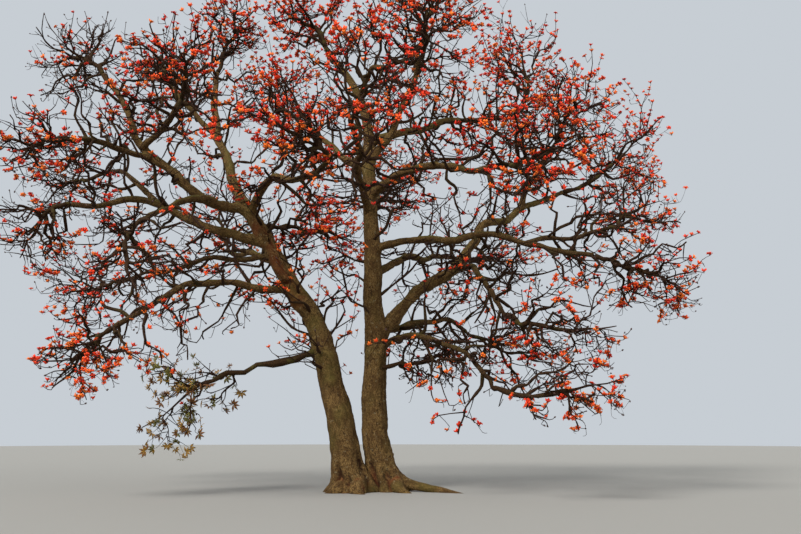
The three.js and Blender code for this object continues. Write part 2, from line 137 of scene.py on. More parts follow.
# A bough leaves its parent at a share of the parent's length. Its mass of twigs keeps to a space
# of its own: centre is the middle of that space, reach its radius, and hang draws its shoots up
# or down.
BOUGHS = records("key parent at stage girth heading climb centre reach hang", [
    ("left_low", "left_trunk", 0.655, 1040, (135, 66), [200, 205, 210, 220, 225, 215],
     [0, 5, -5, -20, -35, -35], (-7500, -3900, 4200), 1900, -0.3),
    ("left_middle", "left_trunk", 0.79, 1080, (100, 56), [160, 155, 155, 155, 150, 155],
     [0, 5, -5, -12, 2, -10], (-10100, 3200, 7000), 2350, -0.2),
    ("left_long", "left_trunk", 0.84, 930, (175, 76), [185, 185, 190, 190, 190, 195, 195],
     [8, 15, 25, 25, 5, -15, 0], (-9850, -1300, 8400), 2250, -0.1),
    ("left_leader", "left_trunk", 0.985, 1000, (180, 86), [155, 135, 135, 130, 110, 70],
     [62, 65, 60, 65, 65, 80], (-5000, 1900, 15900), 2400, 0.15),
    ("left_upper", "left_trunk", 0.975, 880, (170, 80), [205, 205, 200, 195, 185, 155, 165, 175],
     [4, 18, 40, 35, 50, 70, 55, 55], (-9500, -600, 13800), 2050, 0.1),
    ("left_inward", "left_trunk", 0.95, 1070, (148, 74), [300, 305, 310, 305, 295],
     [32, 8, -12, -8, 0], (-2200, -6400, 9500), 2000, 0.1),
    ("left_rear", "left_trunk", 0.72, 1200, (150, 76), [105, 120, 135, 125, 118],
     [28, 15, 20, 8, 15], (-6300, 6600, 10800), 2600, 0),
    ("left_cross", "left_long_bough", 0.56, 1140, (105, 62), [140, 140, 140, 145], [35, 35, 20, 0],
     (-11150, 2800, 10800), 2150, 0),
    ("left_fork", "left_upper_bough", 0.16, 1100, (130, 66), [245, 250, 256, 262],
     [-14, -20, -25, -30], (-5700, -6100, 6100), 2000, -0.2),
    ("left_outer", "left_upper_bough", 0.5, 760, (108, 72), [214, 218, 224], [5, 12, -8],
     (-9300, -3600, 9950), 1950, 0),
    ("left_inner", "left_upper_bough", 0.56, 1180, (110, 76), [312, 305, 296], [14, 8, 5],
     (-5000, -5600, 11500), 1850, 0.1),
    ("left_west", "left_leader_bough", 0.5, 1050, (110, 72), [165, 158, 150, 140],
     [42, 48, 45, 62], (-8300, 4600, 14900), 2100, 0.1),
    ("right_great", "right_trunk", 0.325, 1030, (235, 82),
     [20, 25, 20, 25, 35, 35, 35, 30, 30, 30], [50, 48, 30, 40, 50, 52, 15, 38, 22, 25],
     (9750, 4700, 12700), 2700, 0.05),
    ("right_low", "right_trunk", 0.29, 1050, (112, 64), [312, 322, 315, 310, 302],
     [25, 5, -15, -25, -38], (5650, -4500, 3250), 1850, -0.3),
    ("right_lower", "right_trunk", 0.345, 920, (130, 66), [60, 42, 36, 40, 45],
     [10, 12, 12, 10, -20], (5800, 4300, 4700), 2200, -0.25),
    ("right_level", "right_trunk", 0.53, 920, (128, 72), [338, 340, 340, 345, 340, 345, 345, 345],
     [12, 0, -5, 5, -5, -20, -15, -12], (8300, -2500, 6350), 1980, -0.15),
    ("right_shoulder", "right_trunk", 0.655, 1210, (148, 78), [310, 310, 310, 312, 305],
     [16, 5, -10, -20, -8], (4400, -5700, 9100), 2200, 0.05),
    ("right_high", "right_trunk", 0.78, 1180, (140, 78), [20, 35, 30, 25, 25],
     [28, 18, 25, 10, 12], (5150, 3700, 15800), 2600, 0.1),
    ("right_leader", "right_trunk", 0.74, 1000, (146, 82), [340, 335, 320, 290], [48, 60, 55, 62],
     (2000, -900, 15400), 2500, 0.15),
    ("centre_left", "right_trunk", 0.715, 1160, (142, 80), [145, 135, 130, 135], [30, 40, 40, 32],
     (-3800, 5100, 15100), 2600, 0.1),
    ("front", "right_trunk", 0.61, 1250, (132, 72), [255, 268, 275, 268], [32, 12, 2, 8],
     (300, -6500, 10600), 2300, 0),
    ("rear", "right_trunk", 0.6, 1250, (140, 74), [98, 88, 80, 90, 96], [34, 24, 12, 25, 18],
     (900, 7700, 12100), 2600, 0.05),
    ("rear_right", "right_trunk", 0.47, 1300, (142, 74), [62, 56, 60, 66, 55], [25, 20, 10, 15, 4],
     (4700, 7500, 9000), 2600, -0.1),
    ("arching", "right_trunk", 0.9, 1200, (96, 66), [290, 300, 305], [24, -5, -16],
     (1500, -4300, 13200), 2300, 0.1),
    ("right_crown", "right_great_bough", 0.78, 780, (106, 72), [330, 350, 350], [72, 56, 58],
     (6700, 700, 12450), 2450, 0.1),
    ("right_falling", "right_great_bough", 0.38, 1150, (116, 72), [295, 285, 280, 285],
     [-5, -28, -32, -38], (5640, -3600, 5000), 2150, -0.3),
    ("right_branch", "right_level_bough", 0.72, 1030, (86, 60), [32, 30, 26], [16, 8, 18],
     (8700, 900, 9100), 2200, 0),
])

# The masses that grow straight from a stem of the tree, at its tip where at is 1.
SHOOT_MASSES = records("name parent at heading climb girth centre reach hang", [
    ("top_mass", "right_trunk", 1, 160, 60, 110, (-2500, 1500, 16300), 2700, 0.15),
    ("centre_shoots", "left_trunk", 0.9, 40, 20, 90, (-1700, 1500, 8450), 2050, 0.1),
    ("right_low_shoots", "right_trunk", 0.27, 335, 0, 75, (2000, -900, 4250), 1450, -0.3),
    ("leafy_low_limb", "left_trunk", 0.43, 205, 5, 100, (-5300, -1500, 2600), 1950, -0.25),
])
LEAFY = "leafy_low_limb"
# The masses that carry no short twigs and leave more of the sky open
OPEN_MASSES = [
    "left_fork", "left_outer", "left_cross", "left_inner", "left_middle", "left_long",
    "left_low", "left_rear", "arching", "front", "right_leader", "rear", "centre_left",
]

# A mass's leader: its stages, how far it keeps to the bough's way, how crooked it is, the radius of
# its end, and how far past the middle of the mass it goes.
LEADER = dict(stages=4, bend=0.4, crook=0.1, end=24, past=0.72)
# How each kind of shoot grows from the one before: how many there are, the number that their seeds
# start at, where on the parent they begin and end, their length as a share of the mass's reach, the
# angle that they leave at, their stages, how crooked they are, their radius in millimetres, and the
# turn from one to the next.
AROUND = 137.5
SIDE_SHOOT, SMALL_SHOOT, TWIG, SHORT_TWIG, SPUR, LIMB_SHOOT = records(
    "count first begin end length angle stages crook girth turn",
    [
        (10, 0, 0.16, 0.98, 0.95, 62, 2, 0.25, 34, AROUND),
        (7, 10, 0.12, 0.95, 0.6, 58, 2, 0.3, 26, AROUND),
        (6, 0, 0.3, 0.95, 0.42, 50, 1, 0.3, 19, 180),
        (2, 20, 0.1, 1.0, 0.3, 55, 1, 0.35, 17, AROUND),
        (1, 40, 0.4, 0.9, 0.14, 48, 1, 0.4, 13, AROUND),
        (12, 60, 0.24, 1.0, 0.85, 66, 2, 0.3, 32, AROUND),
    ],
)
# How far a shoot's turn, angle and length vary, and how strongly its mass's hang draws it
VARIES = dict(turn=50, angle=24, shortest=0.7, longest=1.2)
PULL = 0.6
# Blender's own noise would start from the clock, so it is given a seed as well
SEEDS = dict(first=1000, step=37, sleeve=500, dress=77, roots=50)
noise.seed_set(SEEDS["first"])
# What a shoot keeps from the edge of its mass's space, from the limbs, from the ground and from the
# edge of the whole tree, and how near each other the places on its way are that are tried
SPACE_MARGIN = 0.045
LIMB_MARGIN = 0.06
LOWEST_TWIG = 0.7
TIP_MARGIN = 0.13
SAMPLE = 0.15
# How far a mass's foot stands from its bough's tip
CLEARANCE = 0.0004

# A limb's own shoots keep to a sleeve of air round it, whose line has so many steps to a stage
SLEEVE_REACH = 2.4
SLEEVE_HANG = 0.05
SLEEVE_STEPS = 5
STEM_SHOOT = dict(LIMB_SHOOT, count=24, begin=0.34)
LIMB_TWIG = dict(TWIG, count=4)
# What some limbs change of that: the barer ones carry fewer shoots
OWN_SHOOTS = dict(
    left_fork=dict(count=5), left_cross=dict(count=5), left_middle=dict(count=7),
    left_rear=dict(count=9), arching=dict(count=7), centre_left=dict(count=9),
    right_leader=dict(count=9), right_high=dict(count=24), left_trunk=dict(count=30),
    left_low=dict(count=18, begin=0.12, hang=-0.5),
)


def bearing(heading, climb):
    heading, climb = math.radians(heading), math.radians(climb)
    level = math.cos(climb)
    return np.array([level * math.cos(heading), level * math.sin(heading), math.sin(climb)])


def unit(vectors):
    return vectors / np.linalg.norm(vectors, axis=-1, keepdims=True)


SEED_LIMIT = 2147483647


def seeded(seed):
    """A stream of numbers between 0 and 1 that a seed settles."""
    state = seed % (SEED_LIMIT - 1) + 1

    def draw():
        nonlocal state
        state = state * 48271 % SEED_LIMIT
        return state / SEED_LIMIT

    draw()
    return draw


def seed_of(parent_seed, index):
    return (parent_seed * 16807 + (index + 1) * 7919) % SEED_LIMIT


def wander(draw):
    return np.array([draw() - 0.5, draw() - 0.5, draw() - 0.5]) * 2


# Lines

def trace(start, limb):
    line = [np.array(start, float)]
    for heading, climb in zip(limb["heading"], limb["climb"]):
        line.append(line[-1] + bearing(heading, climb) * limb["stage"] * MM)
    return np.array(line)


def place_on(line, station):
    i = min(int(station), len(line) - 2)
    return line[i] + (line[i + 1] - line[i]) * (station - i)


def radius_on(limb, station):
    share = station / (len(limb["line"]) - 1)
    start, end = limb["girth"]
    height = place_on(limb["line"], station)[2]
    swell = limb.get("swell", 0) * math.exp(-height / SWELL_HEIGHT)
    return (start + (end - start) * share + swell) * MM


def smooth_line(points, steps):
    """A smooth curve through the points, with so many steps to each stage."""
    before = 2 * points[0] - points[1]
    after = 2 * points[-1] - points[-2]
    ends = np.vstack([before, points, after])
    t = np.linspace(0, 1, steps, endpoint=False)[:, None]
    pieces = []
    for i in range(len(points) - 1):
        a, b, c, d = ends[i:i + 4]
        cubic = 2 * b + (c - a) * t + (2 * a - 5 * b + 4 * c - d) * t**2
        pieces.append((cubic + (3 * b - a - 3 * c + d) * t**3) / 2)
    return np.vstack(pieces + [points[-1:]])


limbs = {}
for spec in STEMS:
    foot = np.array([spec["foot"][0], spec["foot"][1], 0]) * MM
    limbs[spec["name"]] = dict(spec, line=trace(foot, spec))
for spec in BOUGHS:
    parent_line = limbs[spec["parent"]]["line"]
    start = place_on(parent_line, spec["at"] * (len(parent_line) - 1))
    name = spec["key"] + "_bough"
    limbs[name] = dict(spec, name=name, line=trace(start, spec))

# Every stage of every limb, for the shoots to keep clear of
stage_starts = np.vstack([limb["line"][:-1] for limb in limbs.values()])
stage_ways = np.vstack([np.diff(limb["line"], axis=0) for limb in limbs.values()])
stage_squares = (stage_ways**2).sum(1)
stage_limbs = np.array([name for name, limb in limbs.items() for _ in limb["line"][1:]])
stage_radii = np.array([
    max(radius_on(limb, i), radius_on(limb, i + 1))
    for limb in limbs.values()
    for i in range(len(limb["line"]) - 1)
])

masses = []
for spec in BOUGHS:
    line = limbs[spec["key"] + "_bough"]["line"]
    way = unit(line[-1] - line[-2])
    masses.append(dict(
        spec, name=spec["key"] + "_mass", parent=spec["key"] + "_bough",
        foot=line[-1] + way * CLEARANCE, way=way, girth=spec["girth"][1] * MM,
    ))
for spec in SHOOT_MASSES:
    line = limbs[spec["parent"]]["line"]
    way = bearing(spec["heading"], spec["climb"])
    foot = place_on(line, spec["at"] * (len(line) - 1))
    masses.append(dict(spec, foot=foot, way=way, girth=spec["girth"] * MM))
for rank, mass in enumerate(masses):
    mass["rank"] = rank
    mass["centre"] = np.array(mass["centre"]) * MM
    mass["reach"] = mass["reach"] * MM
    mass["seed"] = SEEDS["first"] + SEEDS["step"] * rank
centres = np.array([mass["centre"] for mass in masses])
lowest_tip, highest_tip = (np.array(corner) for corner in cad_box)
lowest_tip, highest_tip = lowest_tip + TIP_MARGIN, highest_tip - TIP_MARGIN
reaches = np.array([mass["reach"] for mass in masses])


def room_at(mass, points):
    """The least of each point's ways out of the mass's space."""
    power = ((points[:, None] - centres) ** 2).sum(-1) - reaches**2
    apart = np.linalg.norm(centres - mass["centre"], axis=1)
    apart[mass["rank"]] = 1
    walls = (power - power[:, mass["rank"], None]) / (2 * apart)
    walls[:, mass["rank"]] = np.inf
    edge = mass["reach"] - np.linalg.norm(points - mass["centre"], axis=1)
    return np.minimum(np.minimum(edge, points[:, 2] - LOWEST_TWIG), walls.min(1))


def off_stages(points, picked=slice(None)):
    """How far each point lies from the middle of each stage of a limb that is picked."""
    ways, along = points[:, None] - stage_starts[picked], stage_ways[picked]
    share = np.clip((ways * along).sum(-1) / stage_squares[picked], 0, 1)
    return np.linalg.norm(ways - share[..., None] * along, axis=-1)


def clear_of_limbs(points, radius, spared=None):
    gaps = off_stages(points) - stage_radii
    if spared:
        gaps = gaps[:, stage_limbs != spared]
    return bool((gaps > radius + LIMB_MARGIN).all())


def sleeve_room(limb, points):
    """How far each point lies inside the air round a limb that its own shoots grow in."""
    gaps = off_stages(points, stage_limbs == limb["name"]).min(1)
    return np.minimum(SLEEVE_REACH - gaps, points[:, 2] - LOWEST_TWIG)


def way_is_free(mass, start, end, radius):
    samples = math.ceil(np.linalg.norm(end - start) / SAMPLE)
    shares = np.arange(1, samples + 1)[:, None] / samples
    points = start + (end - start) * shares
    if (end < lowest_tip).any() or (end > highest_tip).any():
        return False
    room = sleeve_room(mass, points) if "line" in mass else room_at(mass, points)
    if not (room > SPACE_MARGIN + radius).all():
        return False
    return clear_of_limbs(points, radius, mass.get("spared"))


# Shoots. points are the rule's own, one for each stage, and path is the finer line through them.
# For each order of shoot: its bends to a stage, how crooked they are, how far its end turns up as a
# share of its length, its girth and that of its end as shares, and its sides. Then how often its end
# blooms at full flush, how many heads it has at most, and how often it has a bud instead.
ORDERS = {row["order"]: row for row in records(
    "order bends crook lift girth taper sides blooms heads buds",
    [
        ("leader", 3, 0.24, 0.0, 1.0, 1.0, 8, 1.0, 4, 0.0),
        ("shoot", 3, 0.46, 0.1, 1.7, 0.34, 6, 1.0, 4, 0.7),
        ("twig", 2, 0.5, 0.32, 1.0, 0.5, 4, 0.52, 4, 0.6),
        ("spur", 2, 0.5, 0.3, 0.9, 0.6, 3, 0.24, 1, 0.5),
    ],
)}
BEND_STEPS = 2
LEADER_TAPER = [1, 1.3, 1.3, 0.6]
# The girth of a shoot at most, as a share of its parent's
THICKEST = 0.85
# How near a shoot's tip its last ring lies, as a share of its last step: the ends are blunt
BLUNT = 0.1


def finer_path(points, order, seed, first=None):
    """The points with a smooth, crooked course between them, whose end turns up."""
    drawn = ORDERS[order]
    path = smooth_line(points, drawn["bends"])
    if first is not None:
        path[0] = first
    draws = np.random.default_rng(seed)
    length = np.linalg.norm(points[-1] - points[0])
    step = length / (len(path) - 1)
    path[1:-1] += draws.uniform(-1, 1, (len(path) - 2, 3)) * step * drawn["crook"]
    path[:, 2] += np.linspace(0, 1, len(path)) ** 2 * length * drawn["lift"]
    return smooth_line(path, BEND_STEPS)


def leader_of(mass):
    """The leader bends from the bough's way to the far side of the mass's space."""
    draw = seeded(mass["seed"])
    foot = mass["foot"]
    end = mass["centre"] + unit(mass["centre"] - foot) * LEADER["past"] * mass["reach"]
    length = np.linalg.norm(end - foot)
    bend = foot + mass["way"] * length * LEADER["bend"]
    stages = LEADER["stages"]
    t = (np.arange(stages + 1) / stages)[:, None]
    points = (1 - t) ** 2 * foot + 2 * (1 - t) * t * bend + t**2 * end
    kept = stages + 1
    for i in range(1, stages + 1):
        points[i] += wander(draw) * LEADER["crook"] * length / stages
        room = room_at(mass, points[i:i + 1])[0]
        ends = i == stages and room < SPACE_MARGIN + LEADER["end"] * MM
        if ends or not clear_of_limbs(points[i:i + 1], LEADER["end"] * MM, mass["parent"]):
            kept = i
            break
    points = points[:kept]
    girths = mass["girth"] + (LEADER["end"] * MM - mass["girth"]) * np.arange(kept) / stages
    path = finer_path(points, "leader", mass["seed"])
    shares = np.linspace(0, kept - 1, len(path))
    radii = np.interp(shares, np.arange(kept), girths)
    radii *= np.interp(np.linspace(0, 3, len(path)), range(4), LEADER_TAPER)
    return dict(
        points=points, path=path, radii=radii, seed=mass["seed"],
        steps=ORDERS["leader"]["bends"] * BEND_STEPS, mass=mass,
    )


def shoot_on(mass, parent, kind, index, order):
    """One shoot of a kind, the index-th on its parent: it advances while its way is free."""
    seed = seed_of(parent["seed"], kind["first"] + index)
    draw = seeded(seed)
    last = len(parent["points"]) - 1
    spread = (kind["end"] - kind["begin"]) * (index + draw()) / kind["count"]
    station = min((kind["begin"] + spread) * last, last)
    start = place_on(parent["points"], station)
    stage = min(int(station), last - 1)
    along = unit(parent["points"][stage + 1] - parent["points"][stage])
    side = np.array([along[1], -along[0], 0])
    side = unit(side) if side.any() else np.array([1.0, 0, 0])
    turn = math.radians(kind["turn"] * index + VARIES["turn"] * (draw() - 0.5))
    side = side * math.cos(turn) + np.cross(along, side) * math.sin(turn)
    angle = math.radians(kind["angle"] + VARIES["angle"] * (draw() - 0.5))
    way = along * math.cos(angle) + side * math.sin(angle)
    share = VARIES["shortest"] + (VARIES["longest"] - VARIES["shortest"]) * draw()
    length = mass["reach"] * kind["length"] * share
    girth = kind["girth"] * MM
    points = [start]
    for _ in range(kind["stages"]):
        way = way + wander(draw) * kind["crook"]
        way[2] += mass["hang"] * PULL
        way = unit(way)
        end = points[-1] + way * length / kind["stages"]
        if not way_is_free(mass, points[-1], end, girth):
            break
        points.append(end)
    if len(points) < 2:
        return None
    points = np.array(points)
    foot = place_on(parent["path"], station * parent["steps"])
    path = finer_path(points, order, seed, foot)
    thickest = np.interp(station * parent["steps"], range(len(parent["path"])), parent["radii"])
    drawn = ORDERS[order]
    thick = min(girth * drawn["girth"], thickest * THICKEST)
    radii = thick * np.linspace(1, drawn["taper"], len(path))
    return dict(
        points=points, path=path, radii=radii, seed=seed, steps=drawn["bends"] * BEND_STEPS,
        mass=mass, spray=parent.get("spray", seed),
    )


def shoots_on(mass, parent, kind, order):
    grown = (shoot_on(mass, parent, kind, index, order) for index in range(kind["count"]))
    return [shoot for shoot in grown if shoot]


def grow_mass(mass, orders):
    """Every shoot of one mass of twigs."""
    leader = leader_of(mass)
    orders["leader"].append(leader)
    sides = shoots_on(mass, leader, SIDE_SHOOT, "shoot")
    sides += shoots_on(mass, leader, SMALL_SHOOT, "shoot")
    orders["shoot"] += sides
    short = shoots_on(mass, leader, SHORT_TWIG, "twig")
    kinds = [TWIG] if mass.get("key") in OPEN_MASSES else [TWIG, SHORT_TWIG]
    grow_twigs(mass, sides, short, orders, kinds)


def grow_twigs(mass, sides, short, orders, kinds):
    twigs = list(short)
    for side in sides:
        for kind in kinds:
            twigs += shoots_on(mass, side, kind, "twig")
    orders["twig"] += twigs
    for twig in twigs:
        orders["spur"] += shoots_on(mass, twig, SPUR, "spur")


def grow_sleeve(rank, limb, orders):
    """The shoots that a limb carries along its own outer part."""
    seed = seed_of(SEEDS["first"], SEEDS["sleeve"] + rank)
    path = smooth_line(limb["line"], SLEEVE_STEPS)
    if "swell" not in limb:
        path = gnarled(path, rank + 1, limb)
    radii = limb_radii(limb, len(path), SLEEVE_STEPS)
    whole = dict(points=limb["line"], path=path, radii=radii, seed=seed, steps=SLEEVE_STEPS)
    kind = STEM_SHOOT if "swell" in limb else LIMB_SHOOT
    kind = dict(kind, **OWN_SHOOTS.get(limb.get("key", limb["name"]), {}))
    hang = kind.get("hang", limb.get("hang", SLEEVE_HANG))
    air = dict(limb, reach=SLEEVE_REACH, spared=limb["name"], hang=hang)
    sides = shoots_on(air, whole, kind, "shoot")
    orders["shoot"] += sides
    grow_twigs(dict(air, spared=None), sides, [], orders, [LIMB_TWIG])


# Columns: a straight closed column of unit girth, which is bent along a line

def column(sides, rings):
    """A closed column about +Z with a ring of corners at each whole height and a point on top."""
    shape = bmesh.new()
    bmesh.ops.create_cone(
        shape, cap_ends=True, cap_tris=False, segments=sides, radius1=1, radius2=1, depth=rings,
    )
    bmesh.ops.translate(shape, verts=shape.verts, vec=(0, 0, rings / 2))
    upright = [edge for edge in shape.edges if abs(edge.verts[0].co.z - edge.verts[1].co.z) > 0.5]
    if rings > 1:
        bmesh.ops.subdivide_edges(shape, edges=upright, cuts=rings - 1)
    top = [vert for vert in shape.verts if vert.co.z > rings - 0.5]
    bmesh.ops.pointmerge(shape, verts=top, merge_co=(0, 0, rings))
    bmesh.ops.recalc_face_normals(shape, faces=shape.faces)
    shape.verts.index_update()
    corners = np.array([vert.co for vert in shape.verts])
    loops = np.array([vert.index for face in shape.faces for vert in face.verts])
    totals = np.array([len(face.verts) for face in shape.faces])
    shape.free()
    rises = np.rint(corners[:, 2]).astype(int)
    return dict(rises=rises, across=corners[:, :2], loops=loops, totals=totals)


def carried_frames(paths):
    """At each point of each path, its way and two sides that are carried along untwisted."""
    ways = np.empty_like(paths)
    ways[:, 1:-1] = paths[:, 2:] - paths[:, :-2]
    ways[:, 0] = paths[:, 1] - paths[:, 0]
    ways[:, -1] = paths[:, -1] - paths[:, -2]
    ways = unit(ways)
    sides = np.empty_like(paths)
    level = np.stack([ways[:, 0, 1], -ways[:, 0, 0], ways[:, 0, 2] * 0], axis=-1)
    level += np.where(np.linalg.norm(level, axis=-1, keepdims=True) < 1e-6, [1.0, 0, 0], 0)
    side = level
    for i in range(paths.shape[1]):
        side = side - (side * ways[:, i]).sum(-1, keepdims=True) * ways[:, i]
        side = unit(side)
        sides[:, i] = side
    return ways, sides, np.cross(ways, sides)


def bent(template, paths, radii):
    """The template bent along each path: its corners, and the way that each one faces."""
    _, sides, thirds = carried_frames(paths)
    rises = template["rises"]
    x = template["across"][:, 0, None]
    y = template["across"][:, 1, None]
    outward = sides[:, rises] * x + thirds[:, rises] * y
    return paths[:, rises] + outward * radii[:, rises, None], outward


def repeated(shape, corners):
    """Copies of a shape, whose corners are given copy by copy."""
    count, each, _ = corners.shape
    loops = shape["loops"] + each * np.arange(count)[:, None]
    totals = np.tile(shape["totals"], count)
    return dict(corners=corners.reshape(-1, 3), loops=loops.ravel(), totals=totals)


def together(shapes):
    """Several shapes as one."""
    starts = np.cumsum([0] + [len(shape["corners"]) for shape in shapes[:-1]])
    shapes = [dict(shape, loops=shape["loops"] + start) for shape, start in zip(shapes, starts)]
    return {key: np.concatenate([shape[key] for shape in shapes]) for key in shapes[0]}


def mesh_from(name, shape, values=None):
    """A mesh of a shape, with a number or a place at each corner for each name in values."""
    corners, loops, totals = shape["corners"], shape["loops"], shape["totals"]
    mesh = bpy.data.meshes.new(name)
    mesh.vertices.add(len(corners))
    mesh.vertices.foreach_set("co", corners.astype(np.float32).ravel())
    mesh.loops.add(len(loops))
    mesh.loops.foreach_set("vertex_index", loops.astype(np.int32))
    mesh.polygons.add(len(totals))
    starts = np.concatenate([[0], np.cumsum(totals)[:-1]])
    mesh.polygons.foreach_set("loop_start", starts.astype(np.int32))
    for key, numbers in (values or {}).items():
        kind, field = ("FLOAT_VECTOR", "vector") if numbers.ndim == 2 else ("FLOAT", "value")
        layer = mesh.attributes.new(key, kind, "POINT")
        layer.data.foreach_set(field, numbers.astype(np.float32).ravel())
    mesh.update(calc_edges=True)
    return mesh


def piece_from(mesh, material, replaced):
    """A finished piece of the tree, which stands for the nodes named."""
    mesh.materials.append(material)
    piece = new_object(mesh.name, mesh)
    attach(piece, "root")
    if replaced:
        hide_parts(*replaced)


# Limbs with the relief of their bark. Each is worked out as a straight column, on which s is the
# way along it, and then bent along its line.

RING_STEP = dict(stem=0.038, bough=0.055, root=0.05)
LIMB_SIDES = dict(stem=80, bough=26, root=26)
GNARL = dict(reach=0.14, wave=1.0, ease=0.6)
FOOT_RINGS = 6
END_RINGS = 9
# How far the limbs run into each other: a bough and its parent as a share of the bough's girth, the
# trunks and the roots in metres. A part's blend begins a little way along it. Boughs that leave
# near each other blend too.
FORK_BLEND = 1.35
FORK_START = 0.6
TRUNK_BLEND = 0.16
ROOT_BLEND = 0.3
ROOT_START = 0.2
ROOT_SWAY = 0.1
NEIGHBOUR = dict(gap=0.9, share=0.8, start=0.1)
# The relief: its waves to a metre across and along the grain, and how far each kind stands out, as
# a share of the radius or in metres. Cracks have a width, a depth and the painted shade in them.
SWELLS = dict(waves=(1.4, 1.4, 1.0), share=0.09)
FLUTES = dict(waves=(4.2, 4.2, 0.55), share=0.05)
CRUMBS = dict(waves=(24, 24, 12), rise=0.006)
KNOBS = dict(stem=0.05, bough=0.26, root=0.1)
KNOB_WAVES = (3.6, 3.6, 2.6)
CRACK_WAVES = (8.5, 8.5, 1.7)
CRACK_SWAY = 0.35
WIDE_CRACKS = dict(width=0.2, depth=0.014, painted_shade=0.55)
NARROW_CRACKS = dict(width=0.24, depth=0.008, finer=2.1, painted_shade=0.4)
# The folds on the inside of a bend, which begin where it squeezes the bark enough
FOLDS = dict(waves=27, depth=0.036, begin=0.15, gain=4, sway=5, slant=1.4)
# The relief is whole where the radius is this, and smaller on thinner limbs
FULL_RELIEF = 0.32
RELIEF_SIZES = (0.1, 1.15)


def fractal(points, octaves=3):
    return np.array([noise.fractal(Vector(p), 0.9, 2.1, octaves) for p in points])


def fissures(points, width):
    """How deep each place lies in a net of long cracks, from 0 between them to 1 in one."""
    level = np.abs([noise.noise(Vector(p)) for p in points])
    return np.clip(1 - level / width, 0, 1)


def limb_part(name, kind, path, radii, seed):
    """One limb or root before its relief: its corners and what is known about each."""
    template = column(LIMB_SIDES[kind], len(path) - 1)
    corners, outward = bent(template, path[None], radii[None])
    ways, _, _ = carried_frames(path[None])
    lengths = np.concatenate([[0], np.cumsum(np.linalg.norm(np.diff(path, axis=0), axis=1))])
    steps = np.gradient(lengths)[:, None]
    curl = np.gradient(ways[0], axis=0) / steps
    rises = template["rises"]
    tip = np.linalg.norm(template["across"], axis=1) < 0.5
    facing = outward[0].copy()
    facing[tip] = ways[0, -1]
    return dict(
        name=name, kind=kind, template=template, path=path, radii=radii, base=corners[0],
        facing=facing, radius=radii[rises], s=lengths[rises], across=template["across"],
        squeeze=(curl[rises] * facing).sum(1) * radii[rises], seed=seed,
        raised=np.zeros(len(rises)), round=lengths,
    )


def blend(part, other, width, start=0.0):
    """Swells a part towards another, so that the two run into each other."""
    keep = other["round"] >= start
    path, radii = other["path"][keep], other["radii"][keep]
    low, high = path.min(0) - width - radii.max(), path.max(0) + width + radii.max()
    near = ((part["base"] > low) & (part["base"] < high)).all(1)
    if not near.any():
        return
    base = part["base"][near]
    gap = np.full(len(base), np.inf)
    for point, radius in zip(path, radii):
        gap = np.minimum(gap, np.linalg.norm(base - point, axis=1) - radius)
    share = np.clip(1 - gap / width, 0, 1)
    part["raised"][near] = np.maximum(part["raised"][near], width / 4 * share**2)


def relief_of(part):
    """The height of the bark over each corner, and the painted shade that each takes in the cracks.
    """
    across, s, radius = part["across"], part["s"], part["radius"]
    shift = part["seed"] * 7.31
    grain = np.column_stack([across * radius[:, None], s])
    around = grain + [shift, 0, 0]
    swells = fractal(around * SWELLS["waves"], 2)
    flutes = fractal(around * FLUTES["waves"] + [0, 9.1, 0], 2)
    crumbs = fractal(around * CRUMBS["waves"], 3)
    bent_grain = around * CRACK_WAVES + np.column_stack([swells, crumbs, swells]) * CRACK_SWAY
    wide = fissures(bent_grain, WIDE_CRACKS["width"])
    finer = bent_grain * NARROW_CRACKS["finer"] + [0, shift, 0]
    narrow = fissures(finer, NARROW_CRACKS["width"])
    size = np.clip(radius / FULL_RELIEF, *RELIEF_SIZES)
    squeeze = np.clip(part["squeeze"] * FOLDS["gain"] - FOLDS["begin"], 0, 1)
    waves = s * FOLDS["waves"] + swells * FOLDS["sway"] + across[:, 0] * FOLDS["slant"]
    folds = np.sin(waves) * squeeze
    knobs = fractal(around * KNOB_WAVES, 2) * KNOBS[part["kind"]]
    rise = (swells * SWELLS["share"] + flutes * FLUTES["share"] + knobs) * radius
    rise = rise - (wide * WIDE_CRACKS["depth"] + narrow * NARROW_CRACKS["depth"]) * size
    rise = rise + crumbs * CRUMBS["rise"] * size + folds * FOLDS["depth"] * size
    # The painted shade in the cracks, lighter on the crests of the folds and on the crumbs
    furrow_shade = wide * WIDE_CRACKS["painted_shade"] + narrow * NARROW_CRACKS["painted_shade"]
    return rise, np.clip(furrow_shade - folds * 0.5 - crumbs * 0.3, 0, 1), squeeze, grain


def burl_rise(part):
    """The rise of the burls, scars and the old stub on a limb, and the stain round them."""
    rise = np.zeros(len(part["s"]))
    stain = rise.copy()
    turn = np.arctan2(part["facing"][:, 1], part["facing"][:, 0])
    for burl in BURLS:
        if burl["limb"] != part["name"]:
            continue
        swing = (turn - math.radians(burl["heading"]) + math.pi) % (2 * math.pi) - math.pi
        along = (part["s"] - burl["s"]) / burl["tall"]
        off = np.hypot(swing * part["radius"], along) / burl["width"]
        rise += burl["height"] * np.exp(-off**2)
        rise -= burl["dimple"] * np.exp(-((off / 0.45) ** 2))
        stain += burl["stain"] * np.exp(-(off**2) / 2)
    return rise, stain


